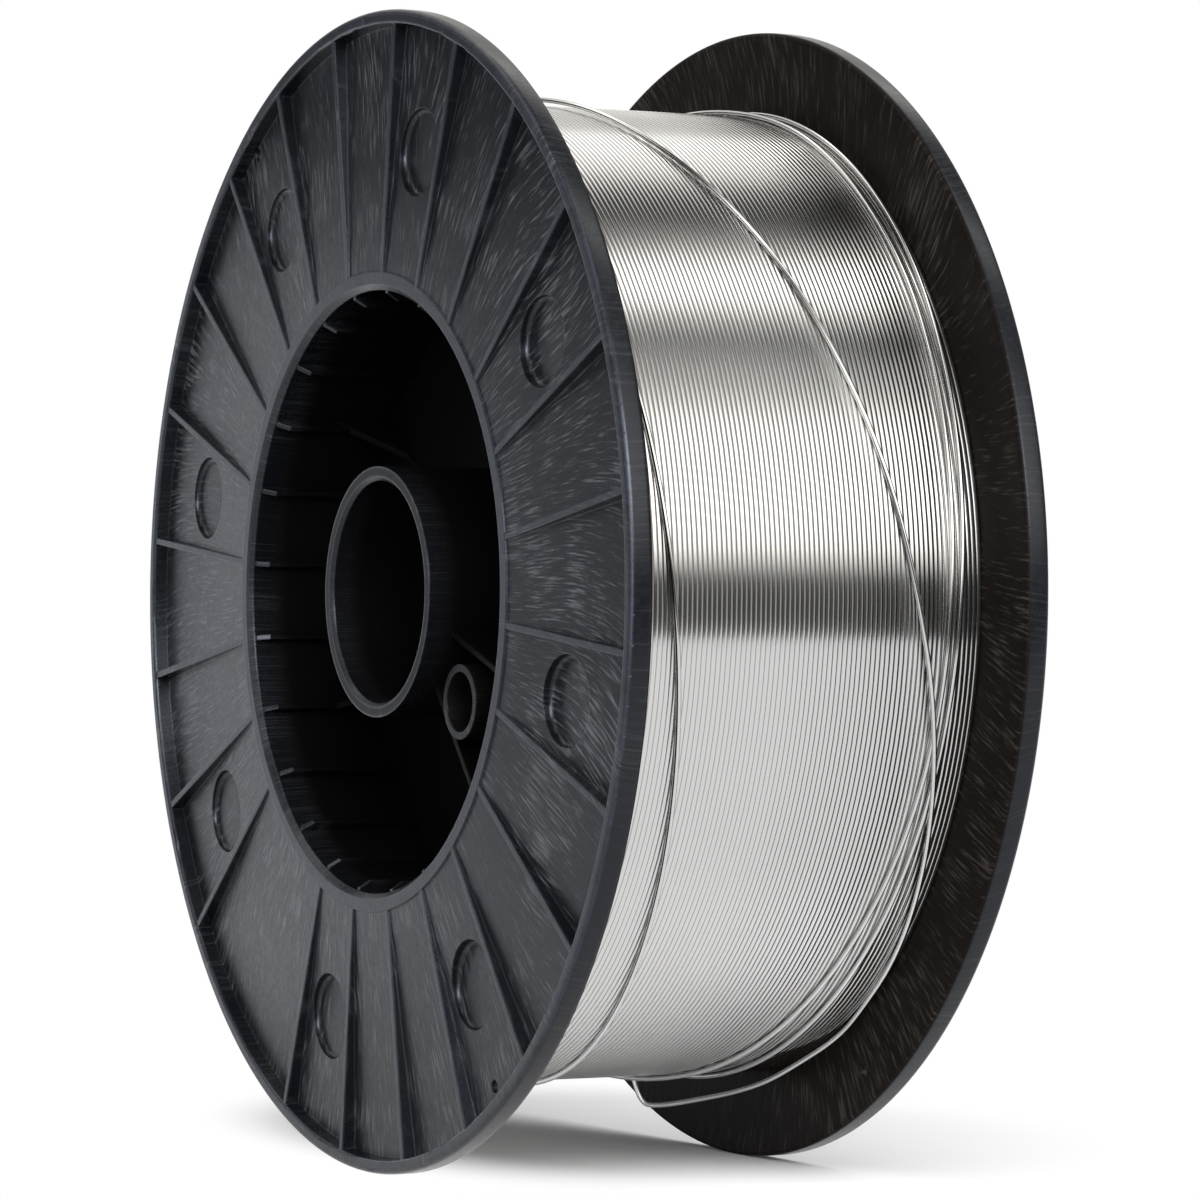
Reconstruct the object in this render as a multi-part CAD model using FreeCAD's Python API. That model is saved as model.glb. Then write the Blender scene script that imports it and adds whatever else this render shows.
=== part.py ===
import FreeCAD, Part
import math
import os

os.makedirs("parts", exist_ok=True)

# A flanged plastic spool of welding wire, standing on the rims of its two flanges.
# The spool's axis is Y, the origin is the middle of the spool, and +Z is up.
# Angles about the axis are counted in degrees from +Z towards +X.
# Depths are measured along the axis, from the spool's front plane inwards.

# Driving dimensions of the spool, in millimetres and degrees
FLANGE_DIAMETER = 270.0
SPOOL_WIDTH = 103.0
RIM_THICKNESS = 3.2
RIM_ROUNDING = 1.2
RIM_DRAFT = 0.5
RECESS_AT_RIM = 3.6
INNER_FACE_AT_RIM = 5.6
INNER_FACE_AT_BARREL = 4.0
HUB_RING_MARGIN = 1.5
HUB_RING_DEPTH = 0.3
HUB_RING_STEP = 0.4
HUB_MOUTH_CHAMFER = 1.3
BARREL_DIAMETER = 146.0
BARREL_WALL = 2.8
BARREL_CORNER_RADIUS = 1.5

# Face ribs: one of the evenly spaced places has no rib
RIB_COUNT = 24
RIB_PHASE = 6.4
RIB_LEFT_OUT = 14
RIB_TOP_WIDTH = 1.5
RIB_ROOT_WIDTH = 2.1
RIB_TOP_DEPTH = 0.35

# Round ejector recesses between the face ribs
POCKET_COUNT = 8
POCKET_DIAMETER = 20.3
POCKET_CIRCLE_DIAMETER = 206.6
POCKET_DEPTH = 1.8
POCKET_BOTTOM_ROUNDING = 1.1

# Small holes for the wire's ends, each as an angle and a distance in from the flange's edge
WIRE_HOLE_DIAMETER = 3.0
WIRE_HOLES = ((326.5, 5.0), (150.5, 8.0))

# Middle tube, and the web that carries it inside the barrel
BORE_DIAMETER = 52.0
BORE_CHAMFER = 0.8
TUBE_WALL = 3.3
TUBE_END_DEPTH = 2.8
WEB_DEPTH = 33.0
WEB_THICKNESS = 2.2

# Fins on the barrel's inner wall, in line with the face ribs
FIN_HEIGHT = 2.4
FIN_TIP_HEIGHT = 0.6
FIN_THICKNESS = 1.2
FIN_START_DEPTH = 1.9
FIN_LEAD = 2.8

# Gussets from the barrel's inner wall down to the web, each on a fin and with a low toe
GUSSET_COUNT = 6
GUSSET_THICKNESS = 1.6
GUSSET_START_DEPTH = 18.0
GUSSET_REACH = 13.0
GUSSET_TOE_LENGTH = 4.0
GUSSET_TOE_HEIGHT = 1.5
GUSSET_TIP_HEIGHT = 0.4

# Socket for the machine's drive pin, with a stiffening rib on each side
DRIVE_HOLE_DIAMETER = 10.5
DRIVE_MOUTH_DIAMETER = 13.8
DRIVE_TAPER_LENGTH = 9.0
DRIVE_SOCKET_DIAMETER = 17.2
DRIVE_CIRCLE_RADIUS = 44.3
DRIVE_ANGLE = 125.0
DRIVE_SOCKET_DEPTH = 7.1
DRIVE_RIB_DEPTH = 9.5
DRIVE_RIB_THICKNESS = 1.4
DRIVE_RIB_SPREAD = 15.0

# Wire
WIRE_DIAMETER = 1.2
WINDING_DIAMETER = 229.6
WINDING_CLEARANCE = 0.1
WINDING_EDGE_ROUNDING = 0.5

# Last turns of the wire, which lie loose on the finished layer. Each place is an angle, counted on
# through the turns, and a place across the winding: 1 is at the back flange and -1 at the front one.
# The wire leaves the back flange, drifts to the front one and crosses quickly to the back again.
TURN_STEP = 15.0
TURN_PLACES = (
    (-90.0, 1.0),
    (15.0, 0.974),
    (51.0, 0.965),
    (71.0, 0.935),
    (97.0, 0.874),
    (162.0, 0.719),
    (240.0, 0.63),
    (330.0, 0.63),
    (355.0, 0.72),
    (375.0, 0.87),
    (420.0, 0.887),
    (460.0, 0.82),
    (480.0, 0.749),
    (524.0, 0.526),
    (540.0, 0.37),
    (622.5, -0.249),
    (715.0, -0.93),
    (745.0, -0.95),
    (780.0, -0.822),
    (834.0, -0.571),
    (889.0, -0.333),
    (982.5, -0.249),
    (1050.0, -0.43),
    (1080.0, -0.36),
    (1092.0, -0.255),
    (1110.0, -0.082),
    (1133.0, 0.216),
    (1153.0, 0.463),
    (1176.0, 0.695),
    (1186.0, 0.78),
    (1203.0, 0.9),
    (1215.0, 0.97),
)

# How far the bends of the last turns stand off the winding, where the wire rides over an earlier turn
# behind, springs clear a little at the top, and rides over two earlier turns beside the back flange
TURN_LIFTS = (
    (960.0, 0.0),
    (975.0, 1.5),
    (990.0, 1.5),
    (1005.0, 0.0),
    (1065.0, 0.0),
    (1080.0, 0.6),
    (1095.0, 0.6),
    (1110.0, 0.0),
    (1170.0, 0.0),
    (1185.0, 1.5),
    (1200.0, 1.5),
    (1215.0, 0.0),
)

# Free end of the wire, from where it leaves the winding to its bent tip that touches the winding again:
# angles, heights above the winding and places across it
FREE_END = (
    (148.3, 1.1, 0.983),
    (153.5, 1.6, 0.97),
    (159.0, 2.5, 0.907),
    (164.4, 4.4, 0.829),
    (169.4, 5.2, 0.756),
    (174.3, 6.0, 0.665),
    (178.1, 7.5, 0.52),
    (179.8, 7.0, 0.437),
    (180.0, 0.1, 0.409),
)
TIP_BEND_RADIUS = 2.2

# How far a piece's end is sunk into what it is fused with, or a cutting tool stands clear of what it cuts
OVERLAP = 1.0

# Sizes that follow from those above
rim_radius = FLANGE_DIAMETER / 2
half_width = SPOOL_WIDTH / 2
lip_radius = rim_radius - RIM_THICKNESS
floor_end_radius = lip_radius - RIM_DRAFT
floor_start_depth = HUB_RING_DEPTH + HUB_RING_STEP
barrel_radius = BARREL_DIAMETER / 2
ring_radius = barrel_radius + HUB_RING_MARGIN
barrel_bore_radius = barrel_radius - BARREL_WALL
wall_middle_radius = barrel_radius - BARREL_WALL / 2
tube_bore_radius = BORE_DIAMETER / 2
tube_radius = tube_bore_radius + TUBE_WALL
web_middle_depth = WEB_DEPTH + WEB_THICKNESS / 2
web_back_depth = WEB_DEPTH + WEB_THICKNESS
rib_pitch = 360.0 / RIB_COUNT
winding_radius = WINDING_DIAMETER / 2
turn_height = WIRE_DIAMETER / 2 + WINDING_CLEARANCE

AXIS = FreeCAD.Vector(0, 1, 0)
CENTRE = FreeCAD.Vector(0, 0, 0)


def floor_depth(radius):
    """Depth of the flange's ribbed face, which is a cone from the hub ring down to the rim."""
    slope = (RECESS_AT_RIM - floor_start_depth) / (floor_end_radius - ring_radius)
    return floor_start_depth + slope * (radius - ring_radius)


def inner_face_depth(radius):
    """Depth of the flange's smooth face on the wire's side, so that the plate is thickest at the barrel."""
    slope = (INNER_FACE_AT_RIM - INNER_FACE_AT_BARREL) / (rim_radius - barrel_radius)
    return INNER_FACE_AT_BARREL + slope * (radius - barrel_radius)


def point(radius, depth, across=0.0):
    """A place at a distance from the axis and a depth below the spool's front plane, at +X."""
    return FreeCAD.Vector(radius, depth - half_width, across)


def wire_through(corners, roundings):
    """A closed outline through the corners, each named corner rounded with a tangent arc of its radius."""
    edges = []
    ends = []
    count = len(corners)
    for i, corner in enumerate(corners):
        radius = roundings.get(i, 0.0)
        before = (corners[i - 1] - corner).normalize()
        after = (corners[(i + 1) % count] - corner).normalize()
        if radius == 0.0:
            ends.append((corner, corner))
            continue
        half_angle = before.getAngle(after) / 2
        setback = radius / math.tan(half_angle)
        bisector = (before + after).normalize()
        centre = corner + bisector * (radius / math.sin(half_angle))
        start = corner + before * setback
        stop = corner + after * setback
        ends.append((start, stop))
        edges.append(Part.Arc(start, centre - bisector * radius, stop).toShape())
    for i in range(count):
        edges.append(Part.LineSegment(ends[i - 1][1], ends[i][0]).toShape())
    return Part.Wire(Part.__sortEdges__(edges))


def turned(corners, roundings):
    """A solid of revolution about the spool's axis, from a profile in the XY plane."""
    face = Part.Face(wire_through(corners, roundings))
    return face.revolve(CENTRE, AXIS, 360)


def turn_to(shape, angle):
    """Turns a shape that was made at +X to an angle counted from +Z towards +X."""
    turned_shape = shape.copy()
    turned_shape.rotate(CENTRE, AXIS, angle - 90.0)
    return turned_shape


def plate(corners, thickness):
    """A flat plate that stands on the plane through the axis, with its thickness shared on both sides."""
    outline = [point(radius, depth, -thickness / 2) for radius, depth in corners]
    face = Part.Face(Part.makePolygon(outline + outline[:1]))
    return face.extrude(FreeCAD.Vector(0, 0, thickness))


def pin(radius, start_depth, end_depth, place_radius):
    """A cylinder in the direction of the spool's axis, made at +X."""
    return Part.makeCylinder(radius, end_depth - start_depth, point(place_radius, start_depth), AXIS)


def turned_half():
    """Flange, rim, barrel, web and tube of one half, as one turned solid."""
    corners = [
        point(barrel_radius, half_width),
        point(barrel_radius, inner_face_depth(barrel_radius)),
        point(rim_radius, inner_face_depth(rim_radius)),
        point(rim_radius, 0),
        point(lip_radius, 0),
        point(floor_end_radius, RECESS_AT_RIM),
        point(ring_radius, floor_start_depth),
        point(ring_radius, HUB_RING_DEPTH),
        point(barrel_bore_radius + HUB_MOUTH_CHAMFER, HUB_RING_DEPTH),
        point(barrel_bore_radius, HUB_RING_DEPTH + HUB_MOUTH_CHAMFER),
        point(barrel_bore_radius, WEB_DEPTH),
        point(tube_radius, WEB_DEPTH),
        point(tube_radius, TUBE_END_DEPTH),
        point(tube_bore_radius + BORE_CHAMFER, TUBE_END_DEPTH),
        point(tube_bore_radius, TUBE_END_DEPTH + BORE_CHAMFER),
        point(tube_bore_radius, half_width),
        point(tube_radius, half_width),
        point(tube_radius, web_back_depth),
        point(barrel_bore_radius, web_back_depth),
        point(barrel_bore_radius, half_width),
    ]
    return turned(corners, {1: BARREL_CORNER_RADIUS, 2: RIM_ROUNDING, 3: RIM_ROUNDING, 4: RIM_ROUNDING / 2})


def face_ribs():
    """Straight ribs on the flange's outer face, with sloped flanks, from the hub ring out to the rim."""
    start = ring_radius - OVERLAP
    stop = lip_radius + OVERLAP
    root_depth = INNER_FACE_AT_RIM
    section = [
        point(start, RIB_TOP_DEPTH, -RIB_TOP_WIDTH / 2),
        point(start, RIB_TOP_DEPTH, RIB_TOP_WIDTH / 2),
        point(start, root_depth, RIB_ROOT_WIDTH / 2),
        point(start, root_depth, -RIB_ROOT_WIDTH / 2),
    ]
    face = Part.Face(Part.makePolygon(section + section[:1]))
    bar = face.extrude(FreeCAD.Vector(stop - start, 0, 0))
    # The bar is kept only down to half the plate's thickness, so its foot follows the cone of the face
    sink = (INNER_FACE_AT_RIM - RECESS_AT_RIM) / 2
    envelope = [
        (start, RIB_TOP_DEPTH),
        (stop, RIB_TOP_DEPTH),
        (stop, floor_depth(stop) + sink),
        (start, floor_depth(start) + sink),
    ]
    rib = bar.common(plate(envelope, RIB_ROOT_WIDTH + OVERLAP))
    return [turn_to(rib, RIB_PHASE + rib_pitch * i) for i in range(RIB_COUNT) if i != RIB_LEFT_OUT]


def barrel_fins():
    """Low fins on the barrel's inner wall, each with a sloped front end."""
    crest = barrel_bore_radius - FIN_HEIGHT
    outline = [
        (wall_middle_radius, FIN_START_DEPTH),
        (barrel_bore_radius - FIN_TIP_HEIGHT, FIN_START_DEPTH),
        (crest, FIN_START_DEPTH + FIN_LEAD),
        (crest, web_middle_depth),
        (wall_middle_radius, web_middle_depth),
    ]
    fin = plate(outline, FIN_THICKNESS)
    return [turn_to(fin, RIB_PHASE + rib_pitch * i) for i in range(RIB_COUNT)]


def gussets():
    """Sloped gussets between the barrel's inner wall and the web, each with a low toe on the web."""
    reach_radius = barrel_bore_radius - GUSSET_REACH
    toe_radius = reach_radius - GUSSET_TOE_LENGTH
    outline = [
        (wall_middle_radius, GUSSET_START_DEPTH),
        (barrel_bore_radius, GUSSET_START_DEPTH),
        (reach_radius, WEB_DEPTH - GUSSET_TOE_HEIGHT),
        (toe_radius, WEB_DEPTH - GUSSET_TIP_HEIGHT),
        (toe_radius, web_middle_depth),
        (wall_middle_radius, web_middle_depth),
    ]
    gusset = plate(outline, GUSSET_THICKNESS)
    return [turn_to(gusset, RIB_PHASE + 360.0 / GUSSET_COUNT * i) for i in range(GUSSET_COUNT)]


def drive_socket():
    """Socket for the drive pin, down to the spool's middle, and its two ribs across to the barrel."""
    socket = pin(DRIVE_SOCKET_DIAMETER / 2, DRIVE_SOCKET_DEPTH, half_width, DRIVE_CIRCLE_RADIUS)
    tube_middle_radius = tube_radius - TUBE_WALL / 2
    outline = [
        (tube_middle_radius, DRIVE_RIB_DEPTH),
        (wall_middle_radius, DRIVE_RIB_DEPTH),
        (wall_middle_radius, web_middle_depth),
        (tube_middle_radius, web_middle_depth),
    ]
    rib = plate(outline, DRIVE_RIB_THICKNESS)
    ribs = [turn_to(rib, DRIVE_ANGLE + side * DRIVE_RIB_SPREAD) for side in (-1, 1)]
    return [turn_to(socket, DRIVE_ANGLE)] + ribs


def drive_hole():
    """The drive pin's tapered mouth and straight hole, as a cutting tool."""
    mouth_radius = DRIVE_MOUTH_DIAMETER / 2
    hole_radius = DRIVE_HOLE_DIAMETER / 2
    mouth_place = point(DRIVE_CIRCLE_RADIUS, DRIVE_SOCKET_DEPTH)
    mouth = Part.makeCone(mouth_radius, hole_radius, DRIVE_TAPER_LENGTH, mouth_place, AXIS)
    hole = pin(hole_radius, DRIVE_SOCKET_DEPTH, half_width + OVERLAP, DRIVE_CIRCLE_RADIUS)
    return turn_to(mouth.fuse(hole), DRIVE_ANGLE)


def ejector_recesses():
    """Round recesses with rounded bottoms in every third bay between the face ribs, as cutting tools."""
    radius = POCKET_CIRCLE_DIAMETER / 2
    bottom = floor_depth(radius) + POCKET_DEPTH
    recess = pin(POCKET_DIAMETER / 2, -OVERLAP, bottom, radius)
    deepest_edge = max(recess.Edges, key=lambda edge: edge.CenterOfMass.y)
    recess = recess.makeFillet(POCKET_BOTTOM_ROUNDING, [deepest_edge])
    # A recess stays inside its bay, so the ribs beside it are kept whole
    bay_width = 2 * radius * math.tan(math.radians(rib_pitch / 2)) - RIB_ROOT_WIDTH
    bay = [
        (ring_radius, -OVERLAP),
        (lip_radius, -OVERLAP),
        (lip_radius, bottom + OVERLAP),
        (ring_radius, bottom + OVERLAP),
    ]
    recess = recess.common(plate(bay, bay_width))
    middle_of_bay = RIB_PHASE + rib_pitch / 2
    return [turn_to(recess, middle_of_bay + 360.0 / POCKET_COUNT * i) for i in range(POCKET_COUNT)]


def wire_holes():
    """Small holes through the flange near its edge, as cutting tools."""
    holes = []
    for angle, inset in WIRE_HOLES:
        radius = rim_radius - inset
        hole = pin(WIRE_HOLE_DIAMETER / 2, -OVERLAP, inner_face_depth(radius) + OVERLAP, radius)
        holes.append(turn_to(hole, angle))
    return holes


def spool_half():
    """One half of the spool, with its flange at the front plane and its open end at the middle."""
    half = turned_half()
    half = half.fuse(face_ribs() + barrel_fins() + gussets() + drive_socket())
    half = half.cut([drive_hole()] + ejector_recesses() + wire_holes())
    return half.removeSplitter()


def winding():
    """The wound wire as one turned solid that fills the space between the flanges."""
    inner = barrel_radius + WINDING_CLEARANCE
    corner = inner + BARREL_CORNER_RADIUS
    edge_place = half_width - inner_face_depth(winding_radius) - WINDING_CLEARANCE
    corner_place = half_width - inner_face_depth(inner) - WINDING_CLEARANCE
    side = [
        FreeCAD.Vector(inner, corner_place - BARREL_CORNER_RADIUS, 0),
        FreeCAD.Vector(corner, corner_place, 0),
        FreeCAD.Vector(winding_radius, edge_place, 0),
    ]
    other_side = [FreeCAD.Vector(place.x, -place.y, 0) for place in reversed(side)]
    return turned(side + other_side, {2: WINDING_EDGE_ROUNDING, 3: WINDING_EDGE_ROUNDING})


def value_at(angle, places):
    """The value that goes with an angle, on straight lines between the places of a table."""
    value = places[0][1]
    for (start, low), (stop, high) in zip(places, places[1:]):
        share = min(max((angle - start) / (stop - start), 0.0), 1.0)
        value += (high - low) * share
    return value


def tube_along(corners, share, last_radius):
    """A round wire along straight runs and tangent arcs; the last arc has its own radius."""
    edges = []
    radii = []
    start = corners[0]
    for i in range(1, len(corners) - 1):
        before = corners[i - 1] - corners[i]
        after = corners[i + 1] - corners[i]
        half_turn = (math.pi - before.getAngle(after)) / 2
        radius = share * min(before.Length, after.Length) / math.tan(half_turn)
        if i == len(corners) - 2:
            radius = last_radius
        setback = radius * math.tan(half_turn)
        before.normalize()
        after.normalize()
        centre = corners[i] + (before + after).normalize() * (radius / math.cos(half_turn))
        middle = centre + (corners[i] - centre).normalize() * radius
        arc_start = corners[i] + before * setback
        arc_stop = corners[i] + after * setback
        edges.append(Part.LineSegment(start, arc_start).toShape())
        edges.append(Part.Arc(arc_start, middle, arc_stop).toShape())
        start = arc_stop
        radii.append(radius)
    edges.append(Part.LineSegment(start, corners[-1]).toShape())
    path = Part.Wire(edges)
    section = Part.Wire(Part.makeCircle(WIRE_DIAMETER / 2, corners[0], corners[1] - corners[0]))
    tube = path.makePipeShell([section], True, False)
    section_volume = math.pi * WIRE_DIAMETER ** 2 / 4 * path.Length
    print("wire end: arcs of radius", round(min(radii), 1), "to", round(max(radii), 1))
    print("wire end: volume", round(tube.Volume), "and section times length", round(section_volume))
    return tube


def place_round(angle, height, across):
    """A point at an angle, a height above the winding and a place across it, from -1 to 1."""
    radius = winding_radius + height
    reach = half_width - inner_face_depth(winding_radius + turn_height) - turn_height
    turn = math.radians(angle)
    return FreeCAD.Vector(radius * math.sin(turn), reach * across, radius * math.cos(turn))


def wire_end():
    """The wire's last turns and its free end, down to the bent tip that rests against the winding."""
    # The corners of a route round a circle stand out by this much, so that its runs touch the circle
    spread = (winding_radius + turn_height) * (1.0 / math.cos(math.radians(TURN_STEP / 2)) - 1.0)
    first, last = TURN_PLACES[0][0], TURN_PLACES[-1][0]
    corners = []
    for i in range(int((last - first) / TURN_STEP) + 1):
        angle = first + i * TURN_STEP
        height = turn_height + spread + value_at(angle, TURN_LIFTS)
        corners.append(place_round(angle, height, value_at(angle, TURN_PLACES)))
    corners += [place_round(*place) for place in FREE_END]
    return tube_along(corners, 0.45, TIP_BEND_RADIUS)


front_half = spool_half()
back_half = front_half.mirror(CENTRE, AXIS)

front_half.exportStep("parts/front_spool_half.step")
back_half.exportStep("parts/back_spool_half.step")
winding().exportStep("parts/wire_winding.step")
wire_end().exportStep("parts/wire_end.step")
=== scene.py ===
import bpy
import math
import numpy as np
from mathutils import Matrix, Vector


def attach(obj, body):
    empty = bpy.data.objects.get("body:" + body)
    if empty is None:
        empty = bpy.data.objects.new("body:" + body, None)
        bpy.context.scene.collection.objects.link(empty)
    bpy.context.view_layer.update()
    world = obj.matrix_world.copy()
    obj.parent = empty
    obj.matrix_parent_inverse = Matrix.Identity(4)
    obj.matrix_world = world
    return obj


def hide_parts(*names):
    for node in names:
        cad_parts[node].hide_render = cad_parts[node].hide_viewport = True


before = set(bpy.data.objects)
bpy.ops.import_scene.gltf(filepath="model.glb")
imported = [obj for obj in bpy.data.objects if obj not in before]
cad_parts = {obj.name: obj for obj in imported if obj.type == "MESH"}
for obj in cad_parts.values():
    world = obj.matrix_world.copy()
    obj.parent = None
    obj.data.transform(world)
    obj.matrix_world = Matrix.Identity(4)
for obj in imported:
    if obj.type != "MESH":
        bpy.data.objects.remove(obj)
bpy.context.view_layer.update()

# The spool: two halves, each moulded in one piece from black plastic, with thin ribs on the outer face.
# They meet in the middle of the barrel. The plastic is matt, with pale flow marks that run outwards from
# the gate at the hub, and its ribs and rims are rubbed a little lighter and smoother by handling.
HALF_WIDTH = 0.0515
EDGE_ROUNDING = 0.0005
PLASTIC_BLACK = (0.003, 0.0033, 0.0042, 1.0)
PLASTIC_GREY = (0.009, 0.010, 0.0125, 1.0)
PLASTIC_RUBBED = (0.014, 0.016, 0.021, 1.0)
PLASTIC_FLOW_MARK = (0.092, 0.093, 0.097, 1.0)
# Painted shade on the flanges' inner faces, tinted brown as a painted reflection of the warm wire
PLASTIC_INNER_FACE_PAINTED_SHADE = (0.0048, 0.0032, 0.0022, 1.0)
INNER_FACE_MARK_PAINTED_SHADE = (0.036, 0.028, 0.021, 1.0)
# Painted shade inside the hub
PLASTIC_HUB_PAINTED_SHADE = (0.0012, 0.0012, 0.0013, 1.0)
PLASTIC_SHEEN = (0.88, 0.91, 1.0, 1.0)

# How deep below the flange's outer plane the rubbed edges and the painted shade inside the hub start and are
# full
RUBBED_DEPTHS = (0.0010, 0.0004)
HUB_SHADE_DEPTHS = (0.0040, 0.0110)

# Where the surfaces with painted shade end, each as the radii at which the painted shade starts and is full
HUB_SHADE_EDGE = (0.0716, 0.0706)
TUBE_END_INNER_EDGE = (0.0268, 0.0275)
TUBE_END_OUTER_EDGE = (0.0291, 0.0286)
INNER_FACE_EDGE = (0.0730, 0.0736)


class Value:
    """An output of a node. Arithmetic on it adds the Math nodes that work the result out."""

    def __init__(self, tree, socket=None):
        self.tree = tree
        self.socket = socket

    def add(self, kind, settings=None, inputs=None, output=0):
        """Adds a node, makes its settings, then sets or links its inputs, and gives one of its outputs."""
        node = self.tree.nodes.new(kind)
        for name, setting in (settings or {}).items():
            if name == "stops":
                ramp = node.color_ramp
                while len(ramp.elements) < len(setting):
                    ramp.elements.new(1.0)
                for stop, (place, colour) in zip(ramp.elements, setting):
                    stop.position = place
                    stop.color = colour
            else:
                setattr(node, name, setting)
        for name, value in (inputs or {}).items():
            if isinstance(value, Value):
                self.tree.links.new(value.socket, node.inputs[name])
            else:
                node.inputs[name].default_value = value
        return Value(self.tree, node.outputs[output] if node.outputs else None)

    def math(self, operation, *values):
        """The result of a Math node on these values."""
        return self.add("ShaderNodeMath", {"operation": operation}, dict(enumerate(values)))

    def __add__(self, other):
        return self.math("ADD", self, other)

    __radd__ = __add__

    def __sub__(self, other):
        return self.math("SUBTRACT", self, other)

    def __rsub__(self, other):
        return self.math("SUBTRACT", other, self)

    def __mul__(self, other):
        return self.math("MULTIPLY", self, other)

    __rmul__ = __mul__

    def __pow__(self, other):
        return self.math("POWER", self, other)

    def rise(self, low, high):
        """0 below low and 1 above high, with a smooth slope between them; low may be the larger."""
        limits = {"Value": self, "From Min": low, "From Max": high}
        return self.add("ShaderNodeMapRange", {"interpolation_type": "SMOOTHSTEP"}, limits)

    def noise(self, scale, detail=2.0, roughness=0.5):
        """A noise texture on this vector, from 0 to 1."""
        inputs = {"Vector": self, "Scale": scale, "Detail": detail, "Roughness": roughness}
        return self.add("ShaderNodeTexNoise", {}, inputs, "Fac")

    def mix(self, low, high):
        """The colour low where this value is 0 and high where it is 1."""
        return self.add("ShaderNodeMix", {"data_type": "RGBA"}, {0: self, 6: low, 7: high}, 2)


def new_material(name):
    """A material with only a Principled shader: the material, a Value to add nodes with, and the shader."""
    material = bpy.data.materials.new(name)
    material.use_nodes = True
    shader = material.node_tree.nodes["Principled BSDF"]
    return material, Value(material.node_tree), shader


def finish_material(graph, shader, colour, roughness, bump):
    """Links what varies over the surface to the shader."""
    graph.tree.links.new(colour.socket, shader.inputs["Base Color"])
    graph.tree.links.new(roughness.socket, shader.inputs["Roughness"])
    graph.tree.links.new(bump.socket, shader.inputs["Normal"])


def round_the_axis(graph):
    """Object coordinates, then the distance from the axis, the angle round it and the place along it."""
    place = graph.add("ShaderNodeTexCoord", output="Object")
    apart = graph.add("ShaderNodeSeparateXYZ", inputs={0: place}).socket.node
    x, y, z = (Value(graph.tree, socket) for socket in apart.outputs)
    radius = (x * x + z * z) ** 0.5
    angle = graph.math("ARCTAN2", x, z)
    return place, radius, angle, y


def moulded_plastic():
    """Black plastic with pale flow marks along the radius, paler on its outermost edges. All its sharp edges
    are shaded as slightly rounded ones. Inside the hub, on part of the middle tube's end and on the flanges'
    inner faces it has painted shade: a darker colour and a nearly dull finish."""
    material, graph, shader = new_material("moulded_black_plastic")
    place, radius, angle, along = round_the_axis(graph)
    depth = HALF_WIDTH - graph.math("ABSOLUTE", along)
    normal = graph.add("ShaderNodeTexCoord", output="Normal")
    faces = graph.add("ShaderNodeSeparateXYZ", inputs={0: normal}, output=1)
    flat = graph.math("ABSOLUTE", faces).rise(0.55, 0.90)
    # The marks are noise drawn out along the radius, 0.5 mm wide and 7 mm long, and lean to either side
    lean = angle - radius * (place.noise(9.0, 1.0) - 0.47) * 4.5
    drawn = graph.add("ShaderNodeCombineXYZ", inputs={0: lean * 175.0, 1: radius * 110.0, 2: along * 40.0})
    streaks = graph.add("ShaderNodeCombineXYZ", inputs={0: lean * 330.0, 1: radius * 45.0, 2: along * 20.0})
    patches = place.noise(38.0, 3.0)
    marks = (drawn.noise(1.0, 3.0, 0.6) + patches * 0.40).rise(0.70, 0.96) * (0.12 + flat * 0.88)
    fine = streaks.noise(1.0, 4.0, 0.65)
    grain = place.noise(1100.0, 3.0, 0.6)
    speckle = place.noise(700.0, 2.0, 0.7).rise(0.42, 0.58)
    rubbed = depth.rise(*RUBBED_DEPTHS) * (0.55 + place.noise(160.0, 4.0) * 0.9).rise(0.75, 1.15)
    black = (fine * flat).rise(0.35, 0.75).mix(PLASTIC_BLACK, PLASTIC_GREY)
    colour = rubbed.mix(marks.mix(black, PLASTIC_FLOW_MARK), PLASTIC_RUBBED)
    roughness = 0.13 + flat * 0.14 + patches * 0.10 + fine * 0.08 + speckle * 0.05
    edges = graph.add("ShaderNodeBevel", {"samples": 4}, {"Radius": EDGE_ROUNDING})
    height = {"Height": grain + marks * 0.5, "Strength": 0.25, "Distance": 0.00005, "Normal": edges}
    bump = graph.add("ShaderNodeBump", {}, height)
    shader.inputs["IOR"].default_value = 1.4
    shader.inputs["Specular Tint"].default_value = PLASTIC_SHEEN
    finish_material(graph, shader, colour, roughness, bump)
    # Painted shade: inside the hub, in part on the middle tube's end between its two edges, and on the
    # flanges' inner faces, whose normals point to the middle of the spool, the plastic is painted darker and
    # nearly dull
    tube_end_painted_shade = radius.rise(*TUBE_END_INNER_EDGE) * radius.rise(*TUBE_END_OUTER_EDGE) * 0.6
    hub_wall_painted_shade = depth.rise(*HUB_SHADE_DEPTHS) * radius.rise(*HUB_SHADE_EDGE)
    hub_painted_shade = graph.math("MAXIMUM", hub_wall_painted_shade, tube_end_painted_shade)
    # The flanges' inner faces get painted shade, its brown tint a painted reflection of the wire
    inner_face_painted_shade = (faces * along).rise(-0.010, -0.030) * radius.rise(*INNER_FACE_EDGE) * 0.92
    painted_shade_colour = hub_painted_shade.mix(marks.mix(PLASTIC_INNER_FACE_PAINTED_SHADE, INNER_FACE_MARK_PAINTED_SHADE), PLASTIC_HUB_PAINTED_SHADE)
    painted_shade_inputs = {"Base Color": painted_shade_colour, "Roughness": 0.6, "Specular IOR Level": 0.035}
    painted_shade_shader = graph.add("ShaderNodeBsdfPrincipled", inputs=dict(painted_shade_inputs, Normal=bump))
    open_face = Value(graph.tree, shader.outputs[0])
    painted_shade_mask = graph.math("MAXIMUM", hub_painted_shade, inner_face_painted_shade)
    both = graph.add("ShaderNodeMixShader", inputs={0: painted_shade_mask, 1: open_face, 2: painted_shade_shader})
    graph.tree.links.new(both.socket, graph.tree.nodes["Material Output"].inputs["Surface"])
    return material


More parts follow.
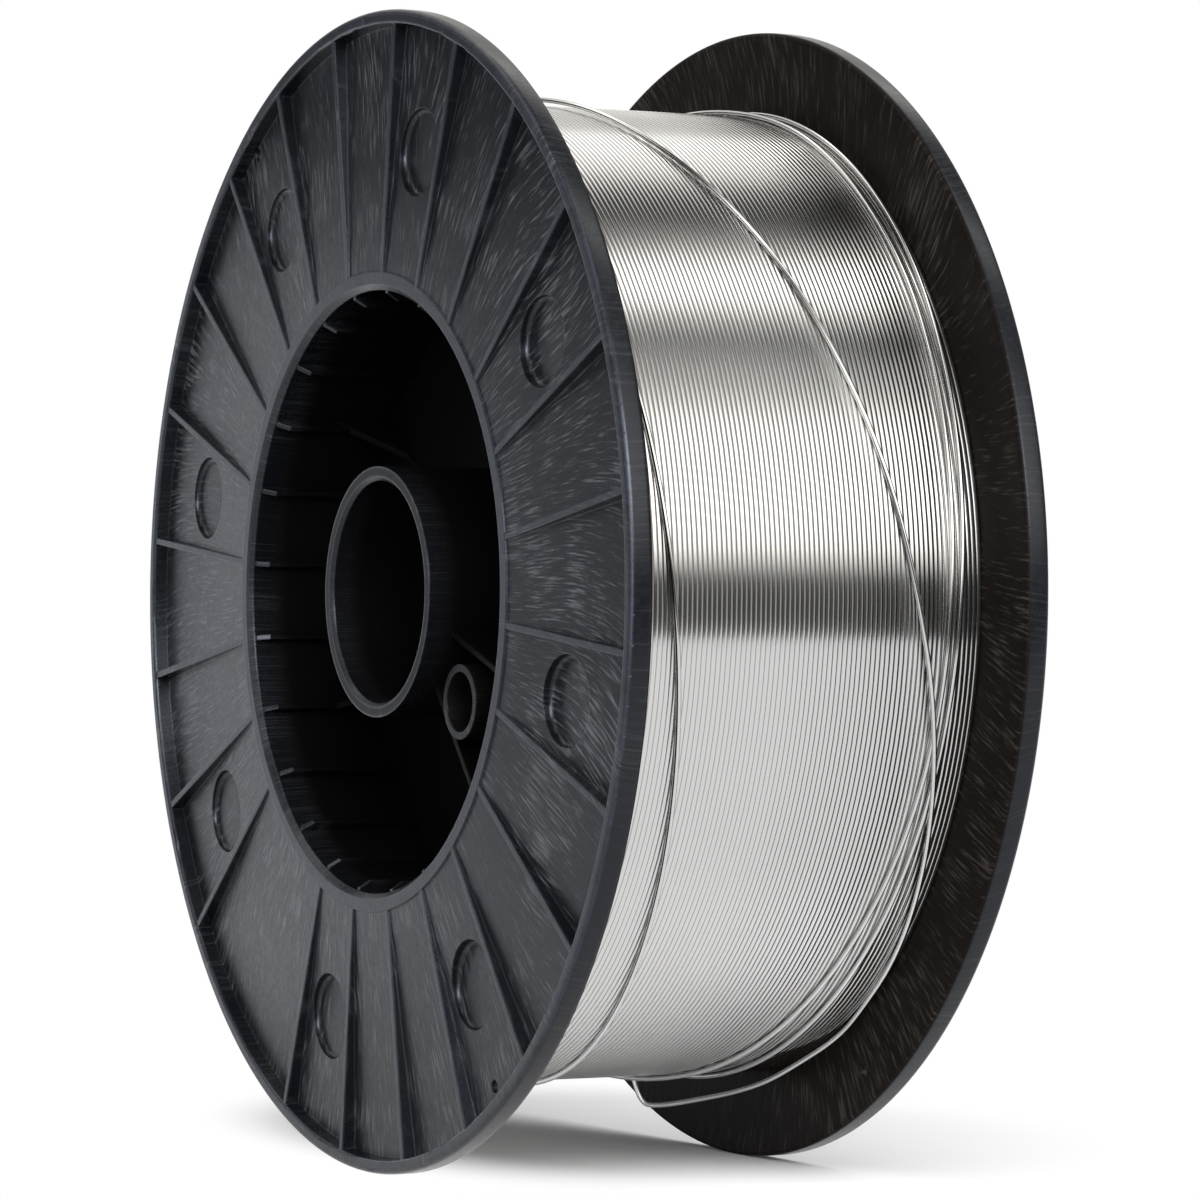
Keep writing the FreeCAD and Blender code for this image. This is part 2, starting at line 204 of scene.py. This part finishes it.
spool_plastic = moulded_plastic()
for node in ("front_spool_half", "back_spool_half"):
    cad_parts[node].data.materials.clear()
    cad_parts[node].data.materials.append(spool_plastic)


# The rims' outer edges: the round outside of each flange, moulded as part of the same black plastic. These
# thin rings follow the plastic's surface and only make the rims' outline and roundings smooth.
RIM_RADIUS = 0.135
RIM_ROUNDING = 0.0012
RIM_INNER_DEPTH = 0.0056
RIM_SET_IN = 0.00001
RIM_INNER_SET_IN = 0.00004
RIM_HIDDEN_INSET = 0.0004
RIM_HIDDEN_DEPTHS = (0.0040, 0.0010)
RIM_SIDES = 720


def turned_ring(profile, sides):
    """A closed surface of revolution: at angle t a profile point (r, y) is at (r sin t, y, r cos t)."""
    t = np.linspace(0.0, 2.0 * np.pi, sides, endpoint=False)
    radius, y = np.asarray(profile).T[:, :, None]
    points = np.stack([radius * np.sin(t), np.repeat(y, sides, 1), radius * np.cos(t)], -1)
    count = len(profile)
    row, column = np.meshgrid(np.arange(count), np.arange(sides), indexing="ij")
    below, beside = (row + 1) % count, (column + 1) % sides
    corners = [row * sides + column, row * sides + beside, below * sides + beside, below * sides + column]
    return points.reshape(-1, 3), np.stack(corners, -1).reshape(-1, 4)


def new_piece(name, points, quads, triangles, material, slot, crease=None):
    """Puts the worked-out surface into a smooth mesh that rides on the spool. The crease attribute says how
    near each point is to the crease between two turns."""
    mesh = bpy.data.meshes.new(name)
    mesh.from_pydata(points.tolist(), [], quads.tolist() + triangles.tolist())
    mesh.polygons.foreach_set("use_smooth", np.ones(len(mesh.polygons), dtype=bool))
    mesh.set_sharp_from_angle(angle=math.radians(35.0))
    mesh.materials.append(material)
    if crease is not None:
        mesh.attributes.new("crease", "FLOAT", "POINT").data.foreach_set("value", crease)
    mesh.update()
    piece = bpy.data.objects.new(name, mesh)
    bpy.context.scene.collection.objects.link(piece)
    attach(piece, "root")
    return piece


def rim_ring(side):
    """The rim's section: two quarter circles that join the round side, closed by a slanting line within the
    plastic. The side is -1 for the front rim and 1 for the back rim."""
    a = np.linspace(0.0, np.pi / 2, 9)
    centre = RIM_RADIUS - RIM_ROUNDING
    outer_depth = RIM_ROUNDING * (1.0 - np.cos(a)) + RIM_SET_IN
    inner_depth = RIM_INNER_DEPTH - RIM_ROUNDING * (1.0 - np.sin(a)) - RIM_INNER_SET_IN
    outer = np.stack([centre + RIM_ROUNDING * np.sin(a), outer_depth], -1)
    inner = np.stack([centre + RIM_ROUNDING * np.cos(a), inner_depth], -1)
    hidden = [[centre - RIM_HIDDEN_INSET, depth] for depth in RIM_HIDDEN_DEPTHS]
    radius, depth = np.concatenate([outer, inner, hidden]).T
    profile = np.stack([radius, side * (HALF_WIDTH - depth)], -1)[::-side]
    return (*turned_ring(profile, RIM_SIDES), np.empty((0, 3), int))


front_rim = new_piece("front_rim_edge", *rim_ring(-1), spool_plastic, "spool_plastic")
back_rim = new_piece("back_rim_edge", *rim_ring(1), spool_plastic, "spool_plastic")


# The winding: bright drawn steel wire, 1.2 mm thick, wound in level layers by machine. Each turn lies
# square to the axis and steps over to the next place at the back. The layers underneath are a plain core.
TURNS = 77
TURN_PITCH = 0.0012026
WINDING_RADIUS = 0.1148
POINTS_A_TURN = 116
STEP_START = 0.68
STEP_LENGTH = 0.12
FLANK_SLOPE = math.radians(23.0)
TURN_UNDERSIDE = ((-0.0006, 0.0004), (-0.0006, -0.0004))
CORE_PROFILE = (
    (0.0731, -0.0459), (0.0746, -0.0473), (0.1140, -0.0461),
    (0.1140, 0.0461), (0.0746, 0.0473), (0.0731, 0.0459),
)
CORE_SIDES = 144
STEEL = (0.685, 0.685, 0.682, 1.0)
STEEL_DULL = (0.61, 0.61, 0.606, 1.0)
STEEL_PAINTED_CREASE_SHADE = (0.26, 0.24, 0.22, 1.0)


def drawn_steel():
    """Bright drawn wire: faint lines along the wire, and a painted brownish shade in the creases between the
    turns.
    """
    material, graph, shader = new_material("bright_drawn_steel")
    place, radius, angle, along = round_the_axis(graph)
    lines = graph.add("ShaderNodeCombineXYZ", inputs={0: angle * 14.0, 1: along * 5200.0, 2: radius * 5200.0})
    drawn = lines.noise(1.0, 3.0, 0.6)
    cloud = place.noise(45.0, 3.0)
    crease = graph.add("ShaderNodeAttribute", {"attribute_name": "crease"}, output="Fac").rise(0.65, 1.05)
    clean = (drawn * 0.5 + cloud * 0.5).mix(STEEL_DULL, STEEL)
    # The creases between the turns are painted dark brown as painted shade
    colour = crease.mix(clean, STEEL_PAINTED_CREASE_SHADE)
    roughness = 0.07 + drawn * 0.07 + cloud * 0.03
    bump = graph.add("ShaderNodeBump", {}, {"Height": drawn, "Strength": 0.12, "Distance": 0.00002})
    shader.inputs["Metallic"].default_value = 1.0
    finish_material(graph, shader, colour, roughness, bump)
    return material


def swept_wire(centres, outward, sideways, section):
    """A closed wire: each ring is its centre plus the section's points, each a outward + b sideways, and a
    point in the middle of each end closes it."""
    section = np.asarray(section)
    rings = centres[:, None] + outward[:, None] * section[:, :1] + sideways[:, None] * section[:, 1:]
    count, sides = len(centres), len(section)
    points = np.concatenate([rings.reshape(-1, 3), rings[0].mean(0)[None], rings[-1].mean(0)[None]])
    row, column = np.meshgrid(np.arange(count - 1), np.arange(sides), indexing="ij")
    beside = (column + 1) % sides
    here, below = row * sides, (row + 1) * sides
    corners = [here + column, here + beside, below + beside, below + column]
    quads = np.stack(corners, -1).reshape(-1, 4)
    k = np.arange(sides)
    last = (count - 1) * sides
    start_cap = np.stack([np.full(sides, count * sides), (k + 1) % sides, k], -1)
    end_cap = np.stack([np.full(sides, count * sides + 1), last + k, last + (k + 1) % sides], -1)
    return points, quads, np.concatenate([start_cap, end_cap])


def level_turns():
    """One wire round the axis: at angle t its crown is at (R sin t, y, R cos t), and y moves on by one pitch
    on a smooth slope behind, in each turn. The section is a shallow arc as wide as the pitch, closed below.
    Beside the surface comes each point's nearness to the crease, which is its slope over the steepest."""
    count = int((TURNS - STEP_LENGTH) * POINTS_A_TURN)
    turn = np.linspace(STEP_START + STEP_LENGTH, TURNS + STEP_START, count)
    whole = np.floor(turn)
    step = np.clip((turn - whole - STEP_START) / STEP_LENGTH, 0.0, 1.0)
    y = (whole + step * step * (3.0 - 2.0 * step) - (TURNS + 1) / 2) * TURN_PITCH
    t = 2.0 * np.pi * turn
    out = np.stack([np.sin(t), np.zeros_like(t), np.cos(t)], -1)
    centres = out * WINDING_RADIUS
    centres[:, 1] = y
    slope = np.linspace(FLANK_SLOPE, -FLANK_SLOPE, 9)
    arc_radius = TURN_PITCH / 2 / math.sin(FLANK_SLOPE)
    arc = np.stack([arc_radius * (np.cos(slope) - 1.0), -arc_radius * np.sin(slope)], -1)
    section = np.concatenate([arc, TURN_UNDERSIDE])
    surface = swept_wire(centres, out, np.tile([0.0, 1.0, 0.0], (len(t), 1)), section)
    nearness = np.append(np.abs(slope) / FLANK_SLOPE, [1.0, 1.0])
    return surface, np.append(np.tile(nearness, len(t)), [1.0, 1.0])


bright_steel = drawn_steel()
turns_surface, turns_crease = level_turns()
wound_turns = new_piece("wound_turns", *turns_surface, bright_steel, "wire_steel", turns_crease)
core_surface = (*turned_ring(CORE_PROFILE, CORE_SIDES), np.empty((0, 3), int))
wound_core = new_piece("wound_core", *core_surface, bright_steel, "wire_steel")
for piece in (wound_turns, wound_core):
    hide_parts("wire_winding")


# The last turns of the wire: they lie loose on the finished layer, from the back flange to the front one
# and quickly across to the back again. There the wire springs clear, runs back underneath the winding and
# ends in a bent tip that rests against it.
WIRE_RADIUS = 0.0006
WIRE_SIDES = 16
LINE_RESOLUTION = 8
TURN_HEIGHT = 0.0007
TURN_STEP = 15.0

# How far from the winding's middle the wire lies where it touches a flange
REACH = 0.045703

# Angles in degrees from the top, counted on through the turns, with places across the winding: 1 is at the
# back flange and -1 at the front one
TURN_PLACES = (
    (-90.0, 1.0), (15.0, 0.974), (51.0, 0.965), (71.0, 0.935), (97.0, 0.874), (162.0, 0.719),
    (240.0, 0.63), (330.0, 0.63), (355.0, 0.72), (375.0, 0.87), (420.0, 0.887), (460.0, 0.82),
    (480.0, 0.749), (524.0, 0.526), (540.0, 0.37), (622.5, -0.249), (715.0, -0.93), (745.0, -0.95),
    (780.0, -0.822), (834.0, -0.571), (889.0, -0.333), (982.5, -0.249), (1050.0, -0.43), (1080.0, -0.36),
    (1092.0, -0.255), (1110.0, -0.082), (1133.0, 0.216), (1153.0, 0.463), (1176.0, 0.695), (1186.0, 0.78),
    (1203.0, 0.9), (1215.0, 0.97),
)

# Angles with heights above the winding, where the wire rides over an earlier turn or stands off a little
TURN_LIFTS = (
    (960.0, 0.0), (975.0, 0.0015), (990.0, 0.0015), (1005.0, 0.0), (1065.0, 0.0), (1080.0, 0.0006),
    (1095.0, 0.0006), (1110.0, 0.0), (1170.0, 0.0), (1185.0, 0.0015), (1200.0, 0.0015), (1215.0, 0.0),
)

# The free end's angles, heights above the winding and places across it
FREE_END = (
    (148.3, 0.0011, 0.983), (153.5, 0.0016, 0.97), (159.0, 0.0025, 0.907), (164.4, 0.0044, 0.829),
    (169.4, 0.0052, 0.756), (174.3, 0.0060, 0.665), (178.1, 0.0075, 0.52), (179.8, 0.0070, 0.437),
    (180.0, 0.0001, 0.409),
)


def last_turns_route():
    """The route's points: at an angle t round the axis and a height h, (R + h)(sin t, cos t) and y."""
    angles = np.arange(TURN_PLACES[0][0], TURN_PLACES[-1][0] + 1.0, TURN_STEP)
    across = np.interp(angles, *np.transpose(TURN_PLACES))
    spread = (WINDING_RADIUS + TURN_HEIGHT) * (1.0 / math.cos(math.radians(TURN_STEP / 2)) - 1.0)
    heights = TURN_HEIGHT + spread + np.interp(angles, *np.transpose(TURN_LIFTS))
    end_angles, end_heights, end_across = np.transpose(FREE_END)
    t = np.radians(np.concatenate([angles, end_angles]))
    radius = WINDING_RADIUS + np.concatenate([heights, end_heights])
    y = REACH * np.concatenate([across, end_across])
    return np.stack([radius * np.sin(t), y, radius * np.cos(t)], -1)


def smooth_line(name, route, resolution):
    """Points along a NURBS spline that has the route's points as its control points."""
    curve = bpy.data.curves.new(name, "CURVE")
    curve.dimensions = "3D"
    curve.resolution_u = resolution
    spline = curve.splines.new("NURBS")
    spline.points.add(len(route) - 1)
    spline.points.foreach_set("co", np.column_stack([route, np.ones(len(route))]).ravel())
    spline.order_u = 3
    spline.use_endpoint_u = True
    holder = bpy.data.objects.new(name, curve)
    line = bpy.data.meshes.new_from_object(holder)
    points = np.empty(len(line.vertices) * 3)
    line.vertices.foreach_get("co", points)
    bpy.data.objects.remove(holder)
    bpy.data.curves.remove(curve)
    bpy.data.meshes.remove(line)
    return points.reshape(-1, 3)


def last_turns():
    """A round wire along the smooth line: sideways is the axis made square to the line, outward is square
    to both."""
    centres = smooth_line("last_turns_line", last_turns_route(), LINE_RESOLUTION)
    forward = np.gradient(centres, axis=0)
    forward /= np.linalg.norm(forward, axis=1)[:, None]
    sideways = np.array([0.0, 1.0, 0.0]) - forward * forward[:, 1:2]
    sideways /= np.linalg.norm(sideways, axis=1)[:, None]
    outward = np.cross(sideways, forward)
    b = np.linspace(0.0, 2.0 * np.pi, WIRE_SIDES, endpoint=False)
    return swept_wire(centres, outward, sideways, WIRE_RADIUS * np.stack([np.cos(b), np.sin(b)], -1))


wire_tail = new_piece("last_turns_and_free_end", *last_turns(), bright_steel, "wire_steel")
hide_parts("wire_end")


# The setting: a pale table top, a white room, and soft light from long boxes that lie along the spool's
# axis, one behind another, so that the wire shows them as bands. A black board stands to the left for the
# plastic to reflect, and three soft boxes draw the plastic's edges.
FLOOR_HEIGHT = -0.135
FLOOR_GLOW = 0.03
TABLE_NEAR_EDGE = 0.78
TABLE_FAR_EDGE = -8.0
TABLE_HALF_WIDTH = 7.0
SHADOW_CENTRE = (-0.045, 0.060)
SHADOW_HALF_SIZE = (0.16, 0.092)
BOARD_PLACE = -0.60
BOARD_EDGES = (-0.95, -0.10)
BOARD_TOP = 0.45

# The broad light on all that is not shiny comes from this direction in x and z, and falls off to the room's
# own level
BROAD_DIRECTION = (0.766, 0.643)
BROAD_FOCUS = 8.0
BROAD_LEVEL = 8.1
ROOM_LEVEL = 0.05

# The long boxes are dimmer at their two ends, and in a patch that faces the front flange. Each limit is the
# part of the direction along an axis at which the change starts and is full.
END_LEVEL = 0.40
BACK_END = (0.52, 0.68)
FRONT_END = (-0.84, -0.97)
PATCH_LEVEL = 0.06
PATCH_ALONG = (-0.12, -0.42)
PATCH_LEFT = (-0.30, -0.60)
PATCH_HEIGHT = (0.55, 0.30)

# The long boxes: elevations round the spool's axis in degrees, with their levels
LIGHT_BANDS = (
    (0.0, 0.06), (2.8, 0.08), (6.5, 1.00), (12.1, 2.31), (17.8, 2.81), (23.4, 2.78),
    (29.1, 2.23), (34.7, 2.21), (40.3, 1.31), (45.9, 0.73), (51.5, 0.46), (57.1, 0.08),
    (62.6, 0.54), (68.2, 1.67), (73.7, 3.40), (79.3, 1.45), (84.8, 0.48), (90.3, 0.10),
    (95.8, 0.05), (101.3, 0.08), (106.8, 0.61), (112.3, 1.07), (117.8, 1.64), (123.3, 2.70),
    (128.8, 0.98), (134.3, 0.80), (139.8, 0.75), (145.3, 1.05), (150.8, 0.85), (156.4, 0.57),
    (161.9, 1.08), (167.5, 1.52),
)

# The soft boxes, each with its place, width, height, level and colour
SOFT_BOXES = (
    ("right_soft_box", (0.80, -0.32, 0.31), 0.36, 0.26, 15.0, (0.82, 0.91, 1.0)),
    ("front_soft_box", (0.60, -0.66, 0.14), 0.30, 0.50, 6.5, (0.80, 0.90, 1.0)),
    ("left_soft_box", (-0.40, -0.17, -0.03), 0.24, 0.34, 1.15, (0.90, 0.94, 1.0)),
)


def table_top():
    """A flat plane under the spool, whose near edge lies before the camera. Outside an oval under the spool
    it fades to plain white for rays from the camera and for reflections."""
    near, far, side = TABLE_NEAR_EDGE, TABLE_FAR_EDGE, TABLE_HALF_WIDTH
    corners = [(near, -side), (near, side), (far, side), (far, -side)]
    mesh = bpy.data.meshes.new("table_top")
    mesh.from_pydata([(x, y, FLOOR_HEIGHT) for x, y in corners], [], [(0, 1, 2, 3)])
    material, graph, shader = new_material("pale_table")
    place = graph.add("ShaderNodeTexCoord", output="Object")
    colour = place.noise(3.0, 2.0).mix((0.93, 0.93, 0.93, 1.0), (0.95, 0.95, 0.95, 1.0))
    graph.tree.links.new(colour.socket, shader.inputs["Base Color"])
    shader.inputs["Roughness"].default_value = 0.9
    shader.inputs["Specular IOR Level"].default_value = 0.0
    rays = graph.add("ShaderNodeLightPath").socket.node.outputs
    seen = Value(graph.tree, rays["Is Camera Ray"]) + Value(graph.tree, rays["Is Glossy Ray"])
    seen = seen + Value(graph.tree, rays["Is Transmission Ray"])
    glow = graph.add("ShaderNodeEmission", inputs={"Strength": graph.math("MINIMUM", seen, 1.0) * FLOOR_GLOW})
    both = graph.add("ShaderNodeAddShader", inputs={0: Value(graph.tree, shader.outputs[0]), 1: glow})
    apart = graph.add("ShaderNodeSeparateXYZ", inputs={0: place}).socket.node.outputs
    x, y = ((Value(graph.tree, apart[k]) - SHADOW_CENTRE[k]) * (1.0 / SHADOW_HALF_SIZE[k]) for k in (0, 1))
    outside = ((x * x + y * y) ** 0.5).rise(0.7, 1.2) * graph.math("MINIMUM", seen, 1.0)
    white = graph.add("ShaderNodeEmission", inputs={"Strength": 1.0})
    top = graph.add("ShaderNodeMixShader", inputs={0: outside, 1: both, 2: white})
    graph.tree.links.new(top.socket, graph.tree.nodes["Material Output"].inputs["Surface"])
    mesh.materials.append(material)
    floor = bpy.data.objects.new("table_top", mesh)
    bpy.context.scene.collection.objects.link(floor)


def dark_board():
    """A black board that stands upright to the left of the spool, seen only in reflections."""
    mesh = bpy.data.meshes.new("dark_board")
    far, near = BOARD_EDGES
    corners = [(far, FLOOR_HEIGHT), (near, FLOOR_HEIGHT), (near, BOARD_TOP), (far, BOARD_TOP)]
    mesh.from_pydata([(BOARD_PLACE, y, z) for y, z in corners], [], [(0, 1, 2, 3)])
    material, graph, shader = new_material("black_board")
    place = graph.add("ShaderNodeTexCoord", output="Object")
    colour = place.noise(5.0, 2.0).mix((0.020, 0.022, 0.026, 1.0), (0.030, 0.032, 0.036, 1.0))
    graph.tree.links.new(colour.socket, shader.inputs["Base Color"])
    shader.inputs["Roughness"].default_value = 0.9
    mesh.materials.append(material)
    board = bpy.data.objects.new("dark_board", mesh)
    board.visible_camera = False
    board.visible_diffuse = False
    board.visible_shadow = False
    bpy.context.scene.collection.objects.link(board)


def light_boxes():
    """The room: bands of light by their elevation round the spool's axis for reflections, one broad light for
    all else, and plain white where the camera looks past the spool."""
    world = bpy.data.worlds.new("studio")
    bpy.context.scene.world = world
    world.use_nodes = True
    world.node_tree.nodes.clear()
    graph = Value(world.node_tree)
    direction = graph.add("ShaderNodeTexCoord", output="Generated")
    apart = graph.add("ShaderNodeSeparateXYZ", inputs={0: direction}).socket.node
    x, y, z = (Value(graph.tree, socket) for socket in apart.outputs)
    elevation = graph.math("ARCTAN2", z, x) * (1.0 / math.pi)
    peak = max(level for _, level in LIGHT_BANDS)
    stops = [(place / 180.0, (level / peak, level / peak, level / peak, 1.0)) for place, level in LIGHT_BANDS]
    bands = graph.add("ShaderNodeValToRGB", {"stops": stops}, {"Fac": elevation})
    strength = graph.add("ShaderNodeRGBToBW", inputs={0: bands}) * peak
    ends = graph.math("MAXIMUM", y.rise(*BACK_END), y.rise(*FRONT_END))
    strength = strength * (1.0 - ends) + ends * END_LEVEL
    patch = y.rise(*PATCH_ALONG) * x.rise(*PATCH_LEFT) * graph.math("ABSOLUTE", z).rise(*PATCH_HEIGHT)
    strength = strength * (1.0 - patch) + patch * PATCH_LEVEL
    boxes = graph.add("ShaderNodeBackground", inputs={"Color": (1.0, 0.985, 0.94, 1.0), "Strength": strength})
    towards = graph.math("MAXIMUM", x * BROAD_DIRECTION[0] + z * BROAD_DIRECTION[1], 0.0)
    broad = towards ** BROAD_FOCUS * BROAD_LEVEL + ROOM_LEVEL
    soft = graph.add("ShaderNodeBackground", inputs={"Color": (1.0, 1.0, 1.0, 1.0), "Strength": broad})
    white = graph.add("ShaderNodeBackground", inputs={"Color": (1.0, 1.0, 1.0, 1.0), "Strength": 1.0})
    rays = graph.add("ShaderNodeLightPath").socket.node.outputs
    glossy, from_camera = (Value(graph.tree, rays[name]) for name in ("Is Glossy Ray", "Is Camera Ray"))
    lit = graph.add("ShaderNodeMixShader", inputs={0: glossy, 1: soft, 2: boxes})
    seen = graph.add("ShaderNodeMixShader", inputs={0: from_camera, 1: lit, 2: white})
    graph.add("ShaderNodeOutputWorld", inputs={"Surface": seen})


def plastic_lamp(name, place, width, height, level, colour):
    """A soft box that faces the spool and lights only its black plastic, which shows it as a sheen and as
    lines along its edges. Its radiance is the level, so its power is level x pi x area."""
    data = bpy.data.lights.new(name, "AREA")
    data.shape = "RECTANGLE"
    data.size = width
    data.size_y = height
    data.energy = level * math.pi * width * height
    data.color = colour
    lamp = bpy.data.objects.new(name, data)
    lamp.location = place
    lamp.rotation_euler = (-Vector(place)).to_track_quat("-Z", "Y").to_euler()
    lamp.visible_camera = False
    lamp.light_linking.receiver_collection = plastic_only
    bpy.context.scene.collection.objects.link(lamp)


table_top()
dark_board()
light_boxes()
plastic_only = bpy.data.collections.new("plastic_only")
spool_halves = [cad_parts[node] for node in ("front_spool_half", "back_spool_half")]
for lit_piece in (*spool_halves, front_rim, back_rim):
    plastic_only.objects.link(lit_piece)
for soft_box in SOFT_BOXES:
    plastic_lamp(*soft_box)
bpy.context.scene.view_settings.view_transform = "Standard"

# The camera stands level with the spool's lower half, a little over a metre off, and sees it three-quarter.
CAMERA_PLACE = Vector((1.0748, -0.5363, -0.01696))
CAMERA_TARGET = Vector((0.003888, 0.007843, -0.001628))
CAMERA_LENS = 151.806

camera = bpy.data.objects.new("camera", bpy.data.cameras.new("camera"))
camera.data.lens = CAMERA_LENS
camera.data.sensor_width = 36.0
camera.data.clip_end = 50.0
camera.location = CAMERA_PLACE
camera.rotation_euler = (CAMERA_TARGET - CAMERA_PLACE).to_track_quat("-Z", "Y").to_euler()
bpy.context.scene.collection.objects.link(camera)
bpy.context.scene.camera = camera
